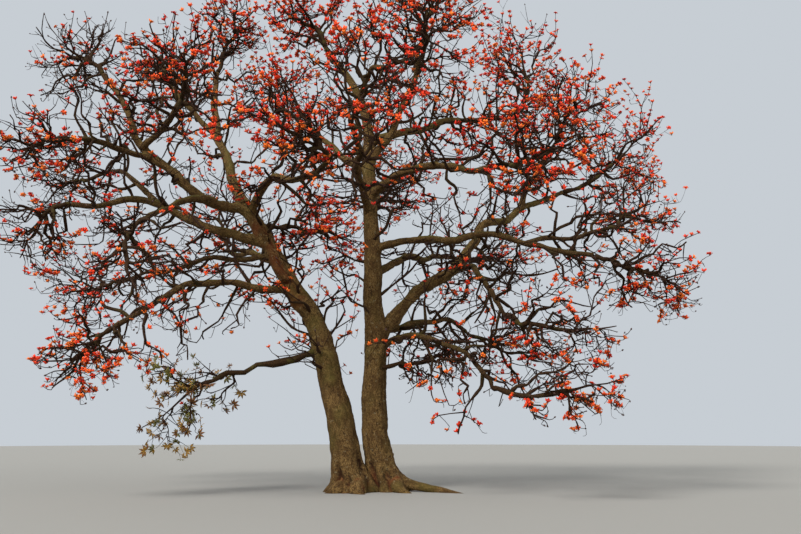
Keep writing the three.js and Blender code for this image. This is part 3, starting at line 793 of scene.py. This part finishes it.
# Burls and scars of old limbs, and the grooves between the roots: how far up the limb, the heading
# that each faces, its width and its height, how many times taller than wide it is, the dimple in
# its middle, and how far it is stained red.
BURLS = records("limb s heading width height tall dimple stain", [
    ("left_trunk", 0.6, 244, 0.09, -0.2, 5, 0, 0),
    ("left_trunk", 0.5, 268, 0.12, -0.07, 3.5, 0, 0),
    ("left_trunk", 0.7, 330, 0.17, -0.14, 4, 0, 0),
    ("right_trunk", 0.7, 232, 0.17, -0.16, 4, 0, 0),
    ("right_trunk", 0.6, 283, 0.1, -0.13, 4, 0, 0),
    ("left_trunk", 3.75, 262, 0.17, 0.09, 1, 0, 0),
    ("left_trunk", 6.5, 250, 0.26, 0.1, 1, 0.12, 0),
    ("left_trunk", 8.3, 230, 0.2, 0.08, 1, 0.06, 0),
    ("left_trunk", 7.9, 246, 0.16, 0.12, 3, 0, 0.5),
    ("left_trunk", 8.0, 268, 0.07, -0.14, 7, 0, 0.6),
    ("left_trunk", 7.15, 286, 0.08, -0.13, 5, 0, 0),
    ("left_trunk", 8.9, 290, 0.07, -0.12, 6, 0, 0.5),
    ("left_trunk", 6.7, 240, 0.3, 0.1, 1, 0, 1),
    ("left_trunk", 7.3, 244, 0.24, -0.2, 0.35, 0, 1),
    ("left_trunk", 9.2, 236, 0.2, 0.05, 2, 0, 0.9),
    ("right_trunk", 6.9, 262, 0.06, -0.06, 6, 0, 0),
    ("left_trunk", 5.2, 20, 0.2, 0.08, 1, 0.07, 0),
    ("left_trunk", 2.4, 120, 0.22, 0.07, 1, 0, 0),
    ("right_trunk", 4.75, 285, 0.24, 0.09, 1, 0.1, 0),
    ("right_trunk", 3.2, 200, 0.2, 0.06, 1, 0, 0),
    ("right_trunk", 7.6, 275, 0.15, 0.06, 1, 0.05, 0),
    ("right_trunk", 9.8, 250, 0.14, 0.06, 1, 0.05, 0),
    ("right_trunk", 6.2, 80, 0.2, 0.07, 1, 0.06, 0),
    ("left_middle_bough", 3.4, 250, 0.09, 0.16, 1, 0, 0),
    ("right_great_bough", 4.2, 270, 0.16, 0.06, 1, 0.05, 0),
    ("left_long_bough", 2.6, 270, 0.14, 0.06, 1, 0.05, 0),
])


def finish_part(part):
    """Raises the bark of a part and gives its corners and what its finish reads."""
    rise, furrow_shade, squeeze, grain = relief_of(part)
    burls, stain = burl_rise(part)
    sunk = np.clip(-burls * 12, 0, 1)
    rise = rise + burls
    last = part["template"]["rises"] == len(part["path"]) - 1
    rise[last] = 0
    corners = part["base"] + part["facing"] * (rise + part["raised"])[:, None]
    values = dict(
        grain=grain + [0, 0, part["seed"] * 3.7],
        # Painted shade in the cracks, and in the grooves that the scars sink
        furrow_shade=np.clip(furrow_shade + sunk * 0.6, 0, 1),
        fold=np.clip(squeeze + part["raised"] * 4 + sunk * 0.5 + stain, 0, 1),
        girth=part["radius"],
    )
    return corners, values


def parts_mesh(name, parts, cut):
    """One mesh of finished parts, with a flat cut at the ground where cut is true."""
    shape = bmesh.new()
    for part in parts:
        corners, values = finish_part(part)
        mesh = mesh_from("part", dict(part["template"], corners=corners), values)
        if cut:
            flat_cut(mesh)
        shape.from_mesh(mesh)
        bpy.data.meshes.remove(mesh)
    mesh = bpy.data.meshes.new(name)
    for key in ("furrow_shade", "fold", "girth"):
        mesh.attributes.new(key, "FLOAT", "POINT")
    mesh.attributes.new("grain", "FLOAT_VECTOR", "POINT")
    shape.to_mesh(mesh)
    shape.free()
    mesh.shade_smooth()
    return mesh


def flat_cut(mesh):
    """Cuts away what lies below the ground and closes the cut."""
    shape = bmesh.new()
    shape.from_mesh(mesh)
    everything = list(shape.verts) + list(shape.edges) + list(shape.faces)
    cut = bmesh.ops.bisect_plane(
        shape, geom=everything, dist=1e-6, plane_co=(0, 0, 0), plane_no=(0, 0, -1),
        clear_outer=True,
    )
    rim = [item for item in cut["geom_cut"] if isinstance(item, bmesh.types.BMEdge)]
    if rim:
        closed = bmesh.ops.holes_fill(shape, edges=rim, sides=0)
        bmesh.ops.triangulate(shape, faces=closed["faces"])
    shape.to_mesh(mesh)
    shape.free()


def limb_radii(limb, count, steps):
    return np.array([radius_on(limb, i / steps) for i in range(count)])


def gnarled(path, seed, limb):
    """The path with the slow wander of an old limb, which dies away at both ends."""
    length = limb["stage"] * MM * len(limb["heading"])
    shares = np.linspace(0, 1, len(path))
    ease = np.sin(shares * math.pi) ** GNARL["ease"]
    places = [Vector((share * length / GNARL["wave"], seed, 0.5)) for share in shares]
    waves = [noise.noise_vector(place) for place in places]
    return path + np.array(waves) * GNARL["reach"] * ease[:, None]


def stem_part(limb, seed):
    steps = round(limb["stage"] * MM / RING_STEP["stem"])
    path = smooth_line(limb["line"], steps)
    radii = limb_radii(limb, len(path), steps)
    depths = np.linspace(SUNK, RING_STEP["stem"], FOOT_RINGS)
    path = np.vstack([path[0] - np.array([0, 0, 1]) * depths[:, None], path])
    radii = np.concatenate([np.full(FOOT_RINGS, radii[0]), radii])
    end = rounded_end(len(path), END_RINGS)
    return limb_part(limb["name"], "stem", path, radii * end, seed)


def rounded_end(count, rings):
    """Shares of the radius that round off the last rings of a limb."""
    shares = np.ones(count)
    shares[-rings:] = np.sqrt(1 - np.linspace(0, 0.97, rings) ** 2)
    return shares


def bough_part(limb, seed):
    steps = round(limb["stage"] * MM / RING_STEP["bough"])
    path = gnarled(smooth_line(limb["line"], steps), seed, limb)
    radii = limb_radii(limb, len(path), steps)
    return limb_part(limb["name"], "bough", path, radii, seed)


def root_part(root, seed):
    foot = limbs[root["stem"]]["line"][0]
    out = bearing(root["heading"], 0)
    sway = bearing(root["heading"] + 90, 0)
    points = []
    for i, (run, rise) in enumerate(ROOT_COURSE):
        aside = sway * ROOT_SWAY * math.sin(seed * 2.3 + i * 2.1)
        point = foot + out * run * root["run"] * MM + aside
        point[2] = rise * root["crest"] * MM
        points.append(point)
    steps = round(root["run"] * MM / 3 / RING_STEP["root"])
    path = smooth_line(np.array(points), steps)
    shares = np.linspace(0, len(ROOT_TAPER) - 1, len(path))
    radii = np.interp(shares, range(len(ROOT_TAPER)), ROOT_TAPER) * root["girth"] * MM
    return limb_part(root["stem"] + "_root", "root", path, radii, seed)


def make_limbs(bark):
    parts = {}
    for seed, limb in enumerate(limbs.values(), 1):
        make = stem_part if "swell" in limb else bough_part
        parts[limb["name"]] = make(limb, seed)
    roots = [(root["stem"], root_part(root, SEEDS["roots"] + i)) for i, root in enumerate(ROOTS)]
    for stem, root in roots:
        blend(root, parts[stem], ROOT_BLEND)
        blend(parts[stem], root, ROOT_BLEND, ROOT_START)
    blend(parts["left_trunk"], parts["right_trunk"], TRUNK_BLEND)
    blend(parts["right_trunk"], parts["left_trunk"], TRUNK_BLEND)
    boughs = [limb for limb in limbs.values() if "swell" not in limb]
    for limb in boughs:
        child, parent = parts[limb["name"]], parts[limb["parent"]]
        width = FORK_BLEND * limb["girth"][0] * MM
        blend(child, parent, width)
        start = radius_on(limbs[limb["parent"]], limb_station(limb)) * FORK_START
        blend(parent, child, width, start)
        for other in boughs:
            near = other is not limb and other["parent"] == limb["parent"]
            if near and np.linalg.norm(other["line"][0] - limb["line"][0]) < NEIGHBOUR["gap"]:
                neighbour = parts[other["name"]]
                blend(child, neighbour, width * NEIGHBOUR["share"], NEIGHBOUR["start"])
    for name, part in parts.items():
        own = [part] + [root for stem, root in roots if stem == name]
        mesh = parts_mesh(name + "_bark", own, "swell" in limbs[name])
        piece_from(mesh, bark, [name])


def limb_station(limb):
    return limb["at"] * (len(limbs[limb["parent"]]["line"]) - 1)


# Twigs

# The parts of the crown, and where the first two end
REGIONS = ["left", "middle", "right"]
REGION_ENDS = [-4.6, 2.6]
# A shoot's girth from knot to knot, as shares of its own
KNOTS = (0.72, 1.32)


def region_of(x):
    """The part of the crown that a place belongs to, from the left to the right."""
    return REGIONS[int(np.searchsorted(REGION_ENDS, x, side="right"))]


def shoot_shapes(shoots, sides):
    """The shoots as shapes with their girth at each corner, the alike ones together."""
    made = []
    for length in sorted({len(shoot["path"]) for shoot in shoots}):
        alike = [shoot for shoot in shoots if len(shoot["path"]) == length]
        template = column(sides, length)
        paths = np.array([shoot["path"] for shoot in alike])
        radii = np.array([shoot["radii"] for shoot in alike])
        collars = paths[:, -1:] + (paths[:, -2:-1] - paths[:, -1:]) * BLUNT
        paths = np.concatenate([paths[:, :-1], collars, paths[:, -1:]], axis=1)
        radii = np.concatenate([radii, radii[:, -1:]], axis=1)
        knots = np.random.default_rng(length * 10 + sides).uniform(*KNOTS, radii.shape)
        corners, _ = bent(template, paths, radii * knots)
        girth = radii[:, template["rises"]].ravel()
        made.append(dict(repeated(template, corners), girth=girth))
    return made


def make_twigs(orders, bark):
    named = {region: [] for region in REGIONS}
    for mass in masses:
        named[region_of(mass["centre"][0])].append(mass["name"])
    for region in REGIONS:
        made = dict(twigs=[], spurs=[])
        for order, shoots in orders.items():
            own = [shoot for shoot in shoots if region_of(shoot["path"][0][0]) == region]
            kind = "spurs" if order == "spur" else "twigs"
            made[kind] += shoot_shapes(own, ORDERS[order]["sides"])
        for kind, shapes in made.items():
            shape = together(shapes)
            mesh = mesh_from(f"{kind}_{region}", shape, dict(girth=shape["girth"]))
            mesh.shade_smooth()
            piece_from(mesh, bark, named[region] if kind == "twigs" else [])


# Blossom, buds and leaves. Each is modelled once, to a radius or length of 1, and copied from arrays.

def turned(sides, profile):
    """A closed shape turned about +Z: the radius and height of each ring, then of its point."""
    template = column(sides, len(profile) - 1)
    sizes, heights = np.array(profile, float).T
    rises = template["rises"]
    flat = template["across"] * sizes[rises, None]
    return dict(template, corners=np.column_stack([flat, heights[rises]]))


def blade(course, widths, thick, heading=0.0, lean=0.0):
    """A thin closed blade along a course of ways out and up, with a keel below it."""
    template = column(3, len(course) - 1)
    across = template["across"] @ [1, 1j]
    across = across * 1j / across[0]
    path = np.array([(out, 0, up) for out, up in course], float)
    _, sides, thirds = carried_frames(path[None])
    rises = template["rises"]
    widths = np.array([*widths, 0.0])[rises, None]
    corners = path[rises] + sides[0, rises] * across.real[:, None] * widths
    corners = corners + thirds[0, rises] * across.imag[:, None] * thick * np.sign(widths)
    turn = Matrix.Rotation(math.radians(heading), 3, "Z") @ Matrix.Rotation(lean, 3, "X")
    return dict(template, corners=corners @ np.array(turn).T)


PETALS = 5
PETAL_THICK = 0.07
PETAL_LEAN = 0.12
# An open head, whose petals curl back, and a cupped one: the course of a petal, its widths, and how
# unevenly the petals are spread, in degrees
OPEN_HEAD = dict(
    course=[(0.08, 0.04), (0.5, 0.4), (0.88, 0.5), (1.0, 0.2)], widths=[0.18, 0.44, 0.4], uneven=5,
)
CUPPED_HEAD = dict(course=[(0.1, 0.0), (0.56, 0.5), (0.98, 0.92)], widths=[0.2, 0.46], uneven=8)
CUP = [(0.07, -0.36), (0.24, 0.0), (0, 0.18)]
STAMENS = [(0.07, 0.1), (0.24, 0.64), (0, 0.52)]
BUD = [(0.16, -0.5), (0.42, 0.1), (0, 0.62)]
LEAFLET_COURSE = [(0.1, 0.0), (0.5, 0.05), (1.0, -0.12)]
LEAFLET_WIDTHS = [0.05, 0.19]
LEAFLET_THICK = 0.02
LEAFLET_HEADINGS = [-82, -42, 0, 40, 84]

BLOSSOM_RADIUS = (0.072, 0.104)
BUD_LENGTH = (0.045, 0.085)
LEAF_LENGTH = (0.14, 0.24)

# How far the heads of one shoot stand apart, as shares of its length
HEADS_APART = 0.15
# How freely one spray blooms and another, before these are squared
SPRAY_FLUSH = (0.4, 1.5)
# The share of full flush by height
FLUSH_HEIGHTS = [3.0, 7.0, 12.0, 17.0]
FLUSH_SHARES = [0.55, 0.5, 0.8, 1.6]
# How much more freely the outside of the crown blooms than its inside. CROWN_MIDDLE and CROWN_HALF
# are the middle of the crown and half its size each way.
CROWN_MIDDLE = (-0.5, 0.5, 9.8)
CROWN_HALF = (11.8, 8.9, 8.2)
OUTNESS = [0.45, 1.0]
OUTER_SHARES = [0.75, 1.3]
# How much more freely or sparely than the rest a mass and its bough bloom
FLUSHES = dict(
    left_upper=0.28, left_cross=0.6, left_outer=0.75, left_long=0.65, left_low=1.9,
    left_fork=0.85, left_leader=0.55, left_west=0.5, left_inner=1.0, left_inward=1.8,
    left_trunk=3.6, centre_left=5.0, top_mass=4.6, right_leader=0.9, arching=0.8, front=2.0,
    right_high=2.8, right_great=1.3, right_crown=1.4, right_shoulder=1.6, rear_right=0.45,
    right_lower=1.1, right_falling=0.75, right_low=0.9, right_low_shoots=0.3,
    centre_shoots=3.6, right_branch=0.7,
)
# How often a shoot of the leafy limb has leaves, and how much less it blooms
LEAFING = 0.95
LEAFY_BLOOM = 0.4


# The shares of the first three colours of blossom, and what orange loses with each metre up. A head
# has its spray's colour where its own draw lies between these two.
COLOUR_SHARES = [0.3, 0.35, 0.36]
ORANGE_LOSS = 0.013
SPRAY_COLOURED = (0.3, 0.85)


@functools.cache
def spray_of(seed):
    """What one spray shares: how freely it blooms and its colour."""
    draws = np.random.default_rng(seed)
    return dict(flush=draws.uniform(*SPRAY_FLUSH) ** 2, tone=draws.random())


def colour_of(tone, draw, height):
    """A blossom's colour: its spray's, or now and then its own. Orange is commoner low down."""
    low, high = SPRAY_COLOURED
    pick = tone if low <= draw <= high else draw
    orange, *others = COLOUR_SHARES
    bounds = np.cumsum([orange - ORANGE_LOSS * height, *others])
    return list(PETAL_COLOURS)[int(np.searchsorted(bounds, pick))]


def flush_at(tip, mass):
    """How freely a shoot of the mass blooms at its tip's place in the crown."""
    flush = np.interp(tip[2], FLUSH_HEIGHTS, FLUSH_SHARES)
    flush *= FLUSHES.get(mass.get("key", mass["name"]), 1)
    outness = np.linalg.norm((tip - CROWN_MIDDLE) / CROWN_HALF)
    return flush * np.interp(outness, OUTNESS, OUTER_SHARES)


def dress(orders):
    """Deals out heads of blossom, buds and leaves over the ends of the shoots."""
    heads = {colour: [] for colour in PETAL_COLOURS}
    leaves = {tint: [] for tint in LEAF_COLOURS}
    buds = []
    for order, drawn in ORDERS.items():
        for shoot in orders[order]:
            draws = np.random.default_rng(seed_of(shoot["seed"], SEEDS["dress"]))
            path = shoot["path"]
            tip, way = path[-1], unit(path[-1] - path[-2])
            spray = spray_of(shoot.get("spray", shoot["seed"]))
            flush = spray["flush"] * flush_at(tip, shoot["mass"])
            leafy = shoot["mass"]["name"] == LEAFY
            if leafy and draws.random() < LEAFING:
                for _ in range(draws.integers(1, 3)):
                    axis = unit(way + draws.normal(0, 0.5, 3) + [0, 0, -0.25])
                    tint = list(leaves)[draws.integers(len(leaves))]
                    leaves[tint].append((tip, axis, draws.uniform(*LEAF_LENGTH), draws.random()))
            elif draws.random() < drawn["blooms"] * flush * (LEAFY_BLOOM if leafy else 1):
                for head in range(draws.integers(1, drawn["heads"] + 1)):
                    back = HEADS_APART * (head + 0.6 * draws.random())
                    place = place_on(path, (len(path) - 1) * (1 - back))
                    axis = unit(way * 0.5 + draws.normal(0, 0.42, 3) + [0, 0, 0.85])
                    size = draws.uniform(*BLOSSOM_RADIUS)
                    colour = colour_of(spray["tone"], draws.random(), tip[2])
                    heads[colour].append((place + axis * size * 0.36, axis, size, draws.random()))
            elif draws.random() < drawn["buds"]:
                axis = unit(way + draws.normal(0, 0.3, 3))
                buds.append((tip, axis, draws.uniform(*BUD_LENGTH), draws.random()))
    return heads, buds, leaves


def copies(shape, placed):
    """Copies of a shape at each place, turned to each axis."""
    places, axes, sizes, spins = map(np.array, zip(*placed))
    spins = spins * 2 * math.pi
    first = unit(np.cross(axes, [0.37, 0.61, 0.7]))
    second = np.cross(axes, first)
    cos, sin = np.cos(spins)[:, None], np.sin(spins)[:, None]
    first, second = first * cos + second * sin, second * cos - first * sin
    turns = np.stack([first, second, axes], axis=1)
    return repeated(shape, (shape["corners"] * sizes[:, None, None]) @ turns + places[:, None])


def copied_piece(name, shapes, placed, material):
    """One joined piece of copies, dealt in turn from the shapes."""
    made = [copies(shape, placed[i::len(shapes)]) for i, shape in enumerate(shapes)]
    piece_from(mesh_from(name, together(made)), material, [])


def blossom_petals(course, widths, uneven):
    """The petals of one head."""
    headings = [360 / PETALS * i + uneven * math.sin(i * 2.4) for i in range(PETALS)]
    return together([
        blade(course, widths, PETAL_THICK, heading, PETAL_LEAN) for heading in headings
    ])


def make_blossom(orders):
    heads, buds, leaves = dress(orders)
    petals = [blossom_petals(**OPEN_HEAD), blossom_petals(**CUPPED_HEAD)]
    for colour, placed in heads.items():
        finish = petal_finish(colour, PETAL_COLOURS[colour])
        copied_piece(f"blossom_{colour}", petals, placed, finish)
    every = [item for placed in heads.values() for item in placed]
    copied_piece("blossom_cups", [turned(3, CUP)], every, cup_finish())
    copied_piece("stamens", [turned(3, STAMENS)], every, stamen_finish())
    copied_piece("buds", [turned(3, BUD)], buds, cup_finish())
    leaf = together([
        blade(LEAFLET_COURSE, LEAFLET_WIDTHS, LEAFLET_THICK, heading)
        for heading in LEAFLET_HEADINGS
    ])
    leaf["corners"] = leaf["corners"] @ np.array(Matrix.Rotation(math.pi / 2, 3, "Y"))
    for tint, placed in leaves.items():
        finish = leaf_finish(tint, LEAF_COLOURS[tint])
        copied_piece(f"old_leaves_{tint}", [leaf], placed, finish)


# Finishes

def srgb(red, green, blue):
    """The shader's colour for one given as 0 to 255."""
    def straight(level):
        level = level / 255
        return level / 12.92 if level <= 0.04045 else ((level + 0.055) / 1.055) ** 2.4
    return (straight(red), straight(green), straight(blue), 1)


PETAL_COLOURS = dict(
    orange=srgb(253, 124, 42), vermilion=srgb(253, 92, 36), scarlet=srgb(247, 66, 32),
    crimson=srgb(222, 50, 30),
)
LEAF_COLOURS = dict(olive=srgb(112, 105, 36), brown=srgb(136, 87, 38), ochre=srgb(174, 130, 44))
CUP_BROWN = srgb(66, 34, 24)
STAMEN_RED = srgb(186, 60, 40)


class Finish:
    """A material and the nodes that are added to it."""

    def __init__(self, name, roughness, shine=0.5):
        self.material = bpy.data.materials.new(name)
        self.material.use_nodes = True
        self.nodes = self.material.node_tree.nodes
        self.links = self.material.node_tree.links
        self.shader = self.nodes["Principled BSDF"]
        self.shader.inputs["Roughness"].default_value = roughness
        self.shader.inputs["Specular IOR Level"].default_value = shine

    def node(self, kind, inputs=None, **settings):
        made = self.nodes.new(kind)
        for key, value in settings.items():
            setattr(made, key, value)
        for key, value in (inputs or {}).items():
            if isinstance(value, bpy.types.NodeSocket):
                self.links.new(value, made.inputs[key])
            else:
                made.inputs[key].default_value = value
        return made

    def place(self):
        return self.node("ShaderNodeTexCoord").outputs["Object"]

    def upward(self, vector):
        return self.node("ShaderNodeSeparateXYZ", {0: vector}).outputs["Z"]

    def attribute(self, name, output="Fac"):
        return self.node("ShaderNodeAttribute", attribute_name=name).outputs[output]

    def mix(self, share, first, second):
        made = self.node("ShaderNodeMix", {0: share, 6: first, 7: second}, data_type="RGBA")
        return made.outputs[2]

    def noise(self, place, scale, detail=3.0, roughness=0.55):
        made = self.node(
            "ShaderNodeTexNoise",
            {"Vector": place, "Scale": scale, "Detail": detail, "Roughness": roughness},
        )
        return made.outputs["Fac"]

    def between(self, value, low, high):
        """A value spread from 0 at low to 1 at high."""
        made = self.node(
            "ShaderNodeMapRange", {0: value, 1: low, 2: high}, interpolation_type="SMOOTHSTEP",
        )
        return made.outputs[0]

    def times(self, first, second):
        return self.node("ShaderNodeMath", {0: first, 1: second}, operation="MULTIPLY").outputs[0]

    def colour(self, value):
        self.links.new(value, self.shader.inputs["Base Color"])

    def bump(self, height, depth):
        made = self.node("ShaderNodeBump", {"Height": height, "Distance": depth})
        self.links.new(made.outputs["Normal"], self.shader.inputs["Normal"])


RIDGE = srgb(118, 93, 54)
WOOD = srgb(60, 41, 20)
# A near-black brown: the dark of the fine grain, and the painted shade in the cracks and grooves
DARK_GRAIN_AND_SHADE = srgb(24, 14, 7)
STAIN = srgb(100, 49, 26)
MOSS = srgb(80, 75, 32)
LICHEN = srgb(132, 120, 90)
YOUNG_BARK = srgb(58, 38, 24)
YOUNG_DARK = srgb(22, 12, 8)
BARK_SHINE = 0.1


def bark_finish():
    """Grey-brown ridges, dark grain, painted shade in cracks, red stains in folds, moss on top."""
    bark = Finish("bark", 0.92, BARK_SHINE)
    place = bark.place()
    grain = bark.attribute("grain", "Vector")
    stretched = bark.node("ShaderNodeMapping", {0: grain, "Scale": (1.0, 1.0, 0.5)}).outputs[0]
    fine = bark.noise(stretched, 40.0, 6.0, 0.74)
    streaks = bark.noise(stretched, 6.5, 4.0, 0.6)
    patches = bark.noise(place, 1.7, 4.0)
    tone = bark.mix(bark.between(fine, 0.4, 0.62), WOOD, RIDGE)
    dull = bark.mix(bark.times(bark.between(patches, 0.4, 0.66), 0.45), tone, WOOD)
    dull = bark.mix(bark.times(bark.between(streaks, 0.46, 0.62), 0.7), dull, WOOD)
    grains = bark.mix(bark.between(fine, 0.46, 0.34), dull, DARK_GRAIN_AND_SHADE)
    # The cracks and grooves darkened with painted shade
    furrow_shade = bark.between(bark.attribute("furrow_shade"), 0.5, 1.1)
    crack_shaded = bark.mix(furrow_shade, grains, DARK_GRAIN_AND_SHADE)
    folds = bark.between(bark.attribute("fold"), 0.2, 1.1)
    stains = bark.times(folds, bark.between(patches, 0.3, 0.6))
    stained = bark.mix(bark.times(stains, 0.7), crack_shaded, STAIN)
    spots = bark.between(bark.noise(place, 9.0, 4.0, 0.7), 0.6, 0.68)
    spotted = bark.mix(bark.times(spots, 0.5), stained, LICHEN)
    damp = bark.times(bark.between(bark.noise(place, 0.8, 3.0), 0.5, 0.7), 0.35)
    damp = bark.mix(damp, spotted, MOSS)
    facing = bark.node("ShaderNodeNewGeometry").outputs["Normal"]
    on_top = bark.between(bark.upward(facing), 0.15, 0.95)
    mossy = bark.times(on_top, bark.between(patches, 0.42, 0.62))
    mossy = bark.times(mossy, bark.between(bark.upward(place), 0.5, 2.5))
    mossed = bark.mix(bark.times(mossy, 0.8), damp, MOSS)
    old = bark.between(bark.attribute("girth"), 0.035, 0.12)
    young = bark.mix(bark.between(fine, 0.35, 0.65), YOUNG_DARK, YOUNG_BARK)
    bark.colour(bark.mix(old, young, mossed))
    bark.bump(fine, 0.02)
    return bark.material


def twig_finish():
    """Dark knobbly bark, greyer and mossier on the thicker shoots."""
    bark = Finish("twig_bark", 0.85, BARK_SHINE)
    place = bark.place()
    fine = bark.noise(place, 46.0, 4.0, 0.65)
    patches = bark.noise(place, 2.3, 3.0)
    young = bark.mix(bark.between(fine, 0.35, 0.65), YOUNG_DARK, YOUNG_BARK)
    old = bark.mix(bark.between(fine, 0.35, 0.65), DARK_GRAIN_AND_SHADE, WOOD)
    mossed = bark.mix(bark.times(bark.between(patches, 0.5, 0.68), 0.5), old, MOSS)
    thick = bark.between(bark.attribute("girth"), 0.025, 0.075)
    bark.colour(bark.mix(thick, young, mossed))
    bark.bump(fine, 0.006)
    return bark.material


def tinted(name, colour, roughness, scale, shade, shine=0.5):
    """A plain colour with a soft mottle of a deeper one."""
    paint = Finish(name, roughness, shine)
    place = paint.place()
    mottle = paint.noise(place, scale, 3.0)
    deeper = tuple(level * shade for level in colour[:3]) + (1,)
    paint.colour(paint.mix(paint.between(mottle, 0.38, 0.7), colour, deeper))
    paint.bump(mottle, 0.004)
    return paint.material


def petal_finish(name, colour):
    """Waxy petals with a soft sheen."""
    return tinted(f"petal_{name}", colour, 0.42, 26.0, 0.72, 0.2)


def cup_finish():
    return tinted("calyx_brown", CUP_BROWN, 0.6, 40.0, 0.55)


def stamen_finish():
    return tinted("stamen_red", STAMEN_RED, 0.6, 60.0, 0.6)


def leaf_finish(name, colour):
    return tinted(f"leaf_{name}", colour, 0.6, 18.0, 0.62)


# Stage

FLOOR = dict(radius=90, sides=96)
LIGHTS = records("name energy spread turn", [
    ("key", 4.3, 20, (50, 0, -34)),
    ("fill", 1.3, 60, (70, 0, 48)),
])
SKY_STRENGTH = 0.85


def make_stage():
    mesh = bpy.data.meshes.new("floor")
    shape = bmesh.new()
    bmesh.ops.create_circle(
        shape, cap_ends=True, segments=FLOOR["sides"], radius=FLOOR["radius"],
    )
    shape.to_mesh(mesh)
    shape.free()
    floor = new_object("floor", mesh)
    paint = Finish("pale_floor", 0.9)
    paint.shader.inputs["Base Color"].default_value = srgb(138, 135, 128)
    mesh.materials.append(paint.material)


def make_lights():
    bpy.context.scene.view_settings.view_transform = "Standard"
    world = bpy.data.worlds.new("studio")
    world.use_nodes = True
    sky = world.node_tree.nodes["Background"]
    sky.inputs["Color"].default_value = srgb(214, 221, 228)
    sky.inputs["Strength"].default_value = SKY_STRENGTH
    bpy.context.scene.world = world
    for row in LIGHTS:
        light = bpy.data.lights.new(row["name"], "SUN")
        light.energy = row["energy"]
        light.angle = math.radians(row["spread"])
        lamp = new_object(row["name"], light)
        lamp.rotation_euler = [math.radians(angle) for angle in row["turn"]]


set_camera()
make_stage()
make_lights()

orders = dict(leader=[], shoot=[], twig=[], spur=[])
for mass in masses:
    grow_mass(mass, orders)
for rank, limb in enumerate(limbs.values()):
    grow_sleeve(rank, limb, orders)

make_limbs(bark_finish())
make_twigs(orders, twig_finish())
make_blossom(orders)
